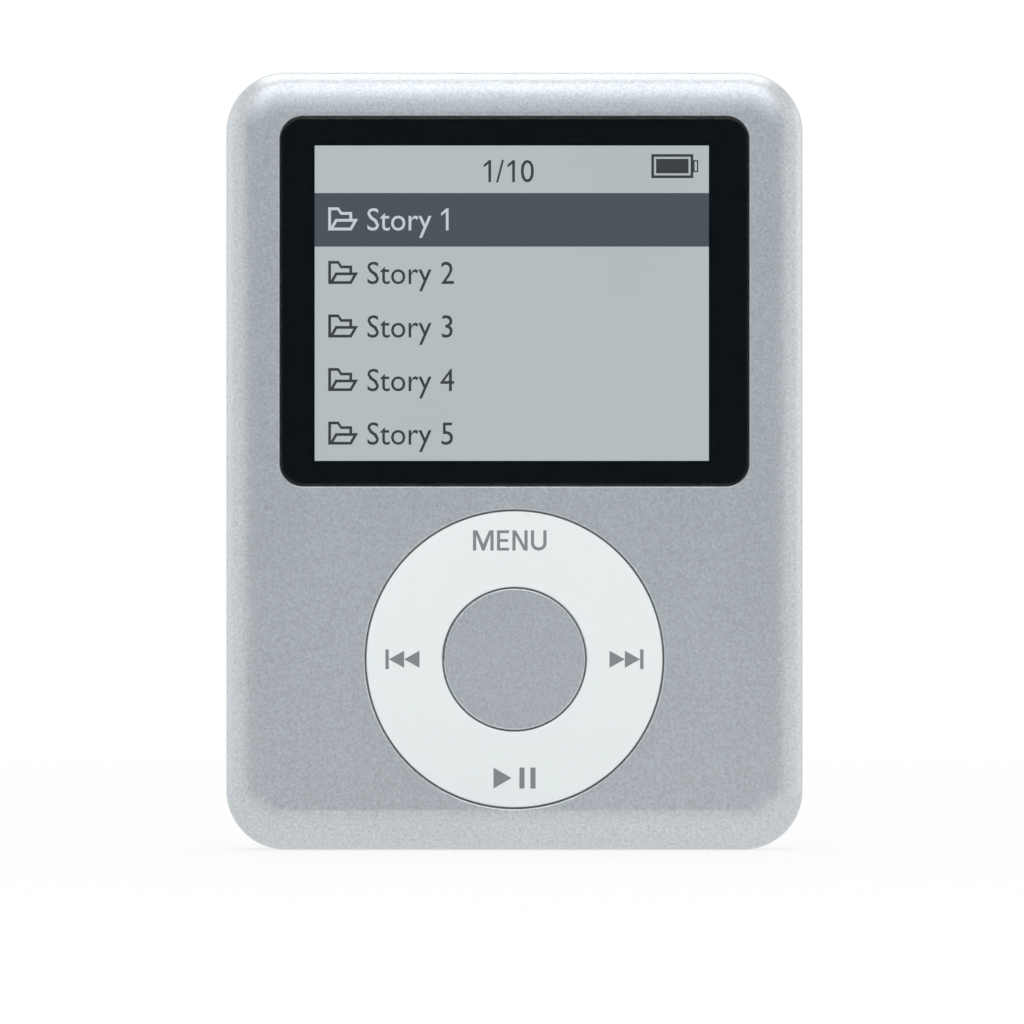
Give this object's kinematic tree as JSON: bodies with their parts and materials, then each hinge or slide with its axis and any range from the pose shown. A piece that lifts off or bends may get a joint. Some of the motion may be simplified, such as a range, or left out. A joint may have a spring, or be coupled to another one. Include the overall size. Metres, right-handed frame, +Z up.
{
  "type": "audio story player",
  "caption": "Flat handheld player: small landscape screen over a round control ring and middle button, with headphone, charging and slide switch openings in its foot.",
  "frame": {"origin": "on the surface that the player stands on, under the middle of its case", "axes": "+X to the right as the screen is read, +Y from the face to the back, +Z up along the height"},
  "size_m": [0.0514, 0.008, 0.0692],
  "materials": {
    "silver_shell": "fine bead-blasted and clear anodised",
    "polished_back": "polished steel sheet",
    "window_clear": "clear, glossy",
    "black_film": "black print on clear film",
    "grey_foam": "closed-cell foam",
    "screen_glass": "thin display glass",
    "screen_film": "matt polariser film",
    "white_plastic": "moulded, matt",
    "clear_acrylic": "clear moulded plate",
    "white_sheet": "thin white film",
    "lamp_yellow": "lamp gel in a white case",
    "steel_sheet": "stamped steel",
    "ribbon_amber": "polyimide film",
    "black_plastic": "moulded, satin",
    "ring_white": "moulded, satin",
    "button_silver": "fine satin silver",
    "board_green": "solder mask",
    "screw_steel": "zinc plated",
    "gold_contact": "gold plated",
    "switch_brown": "pressed board",
    "battery_foil": "laminated foil pouch",
    "tape_white": "double-sided tape",
    "lead_red": "silicone insulation",
    "lead_black": "silicone insulation",
    "chip_black": "moulded epoxy",
    "inductor_grey": "pressed ferrite",
    "capacitor_tan": "fired ceramic"
  },
  "bodies": {
    "housing": {"front_shell": "silver_shell", "rear_cover": "polished_back", "window_lens": "window_clear", "lens_border_film": "black_film", "lens_gasket": "grey_foam", "lcd_panel": "screen_glass", "lcd_polariser": "screen_film", "lcd_backlight_frame": "white_plastic", "light_guide": "clear_acrylic", "backlight_reflector": "white_sheet", "backlight_lamps": "lamp_yellow", "lcd_back_plate": "steel_sheet", "lcd_ribbon": "ribbon_amber", "inner_frame": "black_plastic", "fulcrum_studs": "steel_sheet", "snap_domes": "steel_sheet", "main_board": "board_green", "frame_screws": "screw_steel", "board_screws": "screw_steel", "headphone_socket": "black_plastic", "headphone_contacts": "gold_contact", "usb_shell": "steel_sheet", "usb_tongue": "black_plastic", "usb_contacts": "gold_contact", "switch_base": "switch_brown", "switch_cover": "steel_sheet", "battery_cell": "battery_foil", "battery_tape": "tape_white", "battery_foam": "grey_foam", "battery_guard_board": "board_green", "battery_lead_plus": "lead_red", "battery_lead_minus": "lead_black", "display_connector": "white_plastic", "processor_chip": "chip_black", "memory_chip": "chip_black", "charger_chip": "chip_black", "power_inductor": "inductor_grey", "clock_crystal": "screw_steel", "chip_capacitors": "capacitor_tan"},
    "rocker": {"rocker_washer": "steel_sheet"},
    "ring": {"control_ring": "ring_white"},
    "button": {"center_button": "button_silver"},
    "knob": {"switch_knob": "black_plastic"}
  },
  "joints": [
    {"name": "ring_rock_up_down", "type": "hinge", "parent": "housing", "child": "rocker", "pos_m": [0, -0.00211, 0.01698], "axis": [1, 0, 0], "range_deg": [-0.9, 0.9], "stiffness_Nm_per_rad": 0.4, "deforming": ["snap_domes"]},
    {"name": "ring_rock_left_right", "type": "hinge", "parent": "rocker", "child": "ring", "pos_m": [0, -0.00229, 0.01698], "axis": [0, 0, 1], "range_deg": [-0.9, 0.9], "stiffness_Nm_per_rad": 0.4, "deforming": ["snap_domes"]},
    {"name": "button_press", "type": "slide", "parent": "housing", "child": "button", "axis": [0, 1, 0], "range_m": [0, 0.0002], "stiffness_N_per_m": 1000, "deforming": ["snap_domes"]},
    {"name": "switch_slide", "type": "slide", "parent": "housing", "child": "knob", "axis": [1, 0, 0], "range_m": [0, 0.002]}
  ]
}
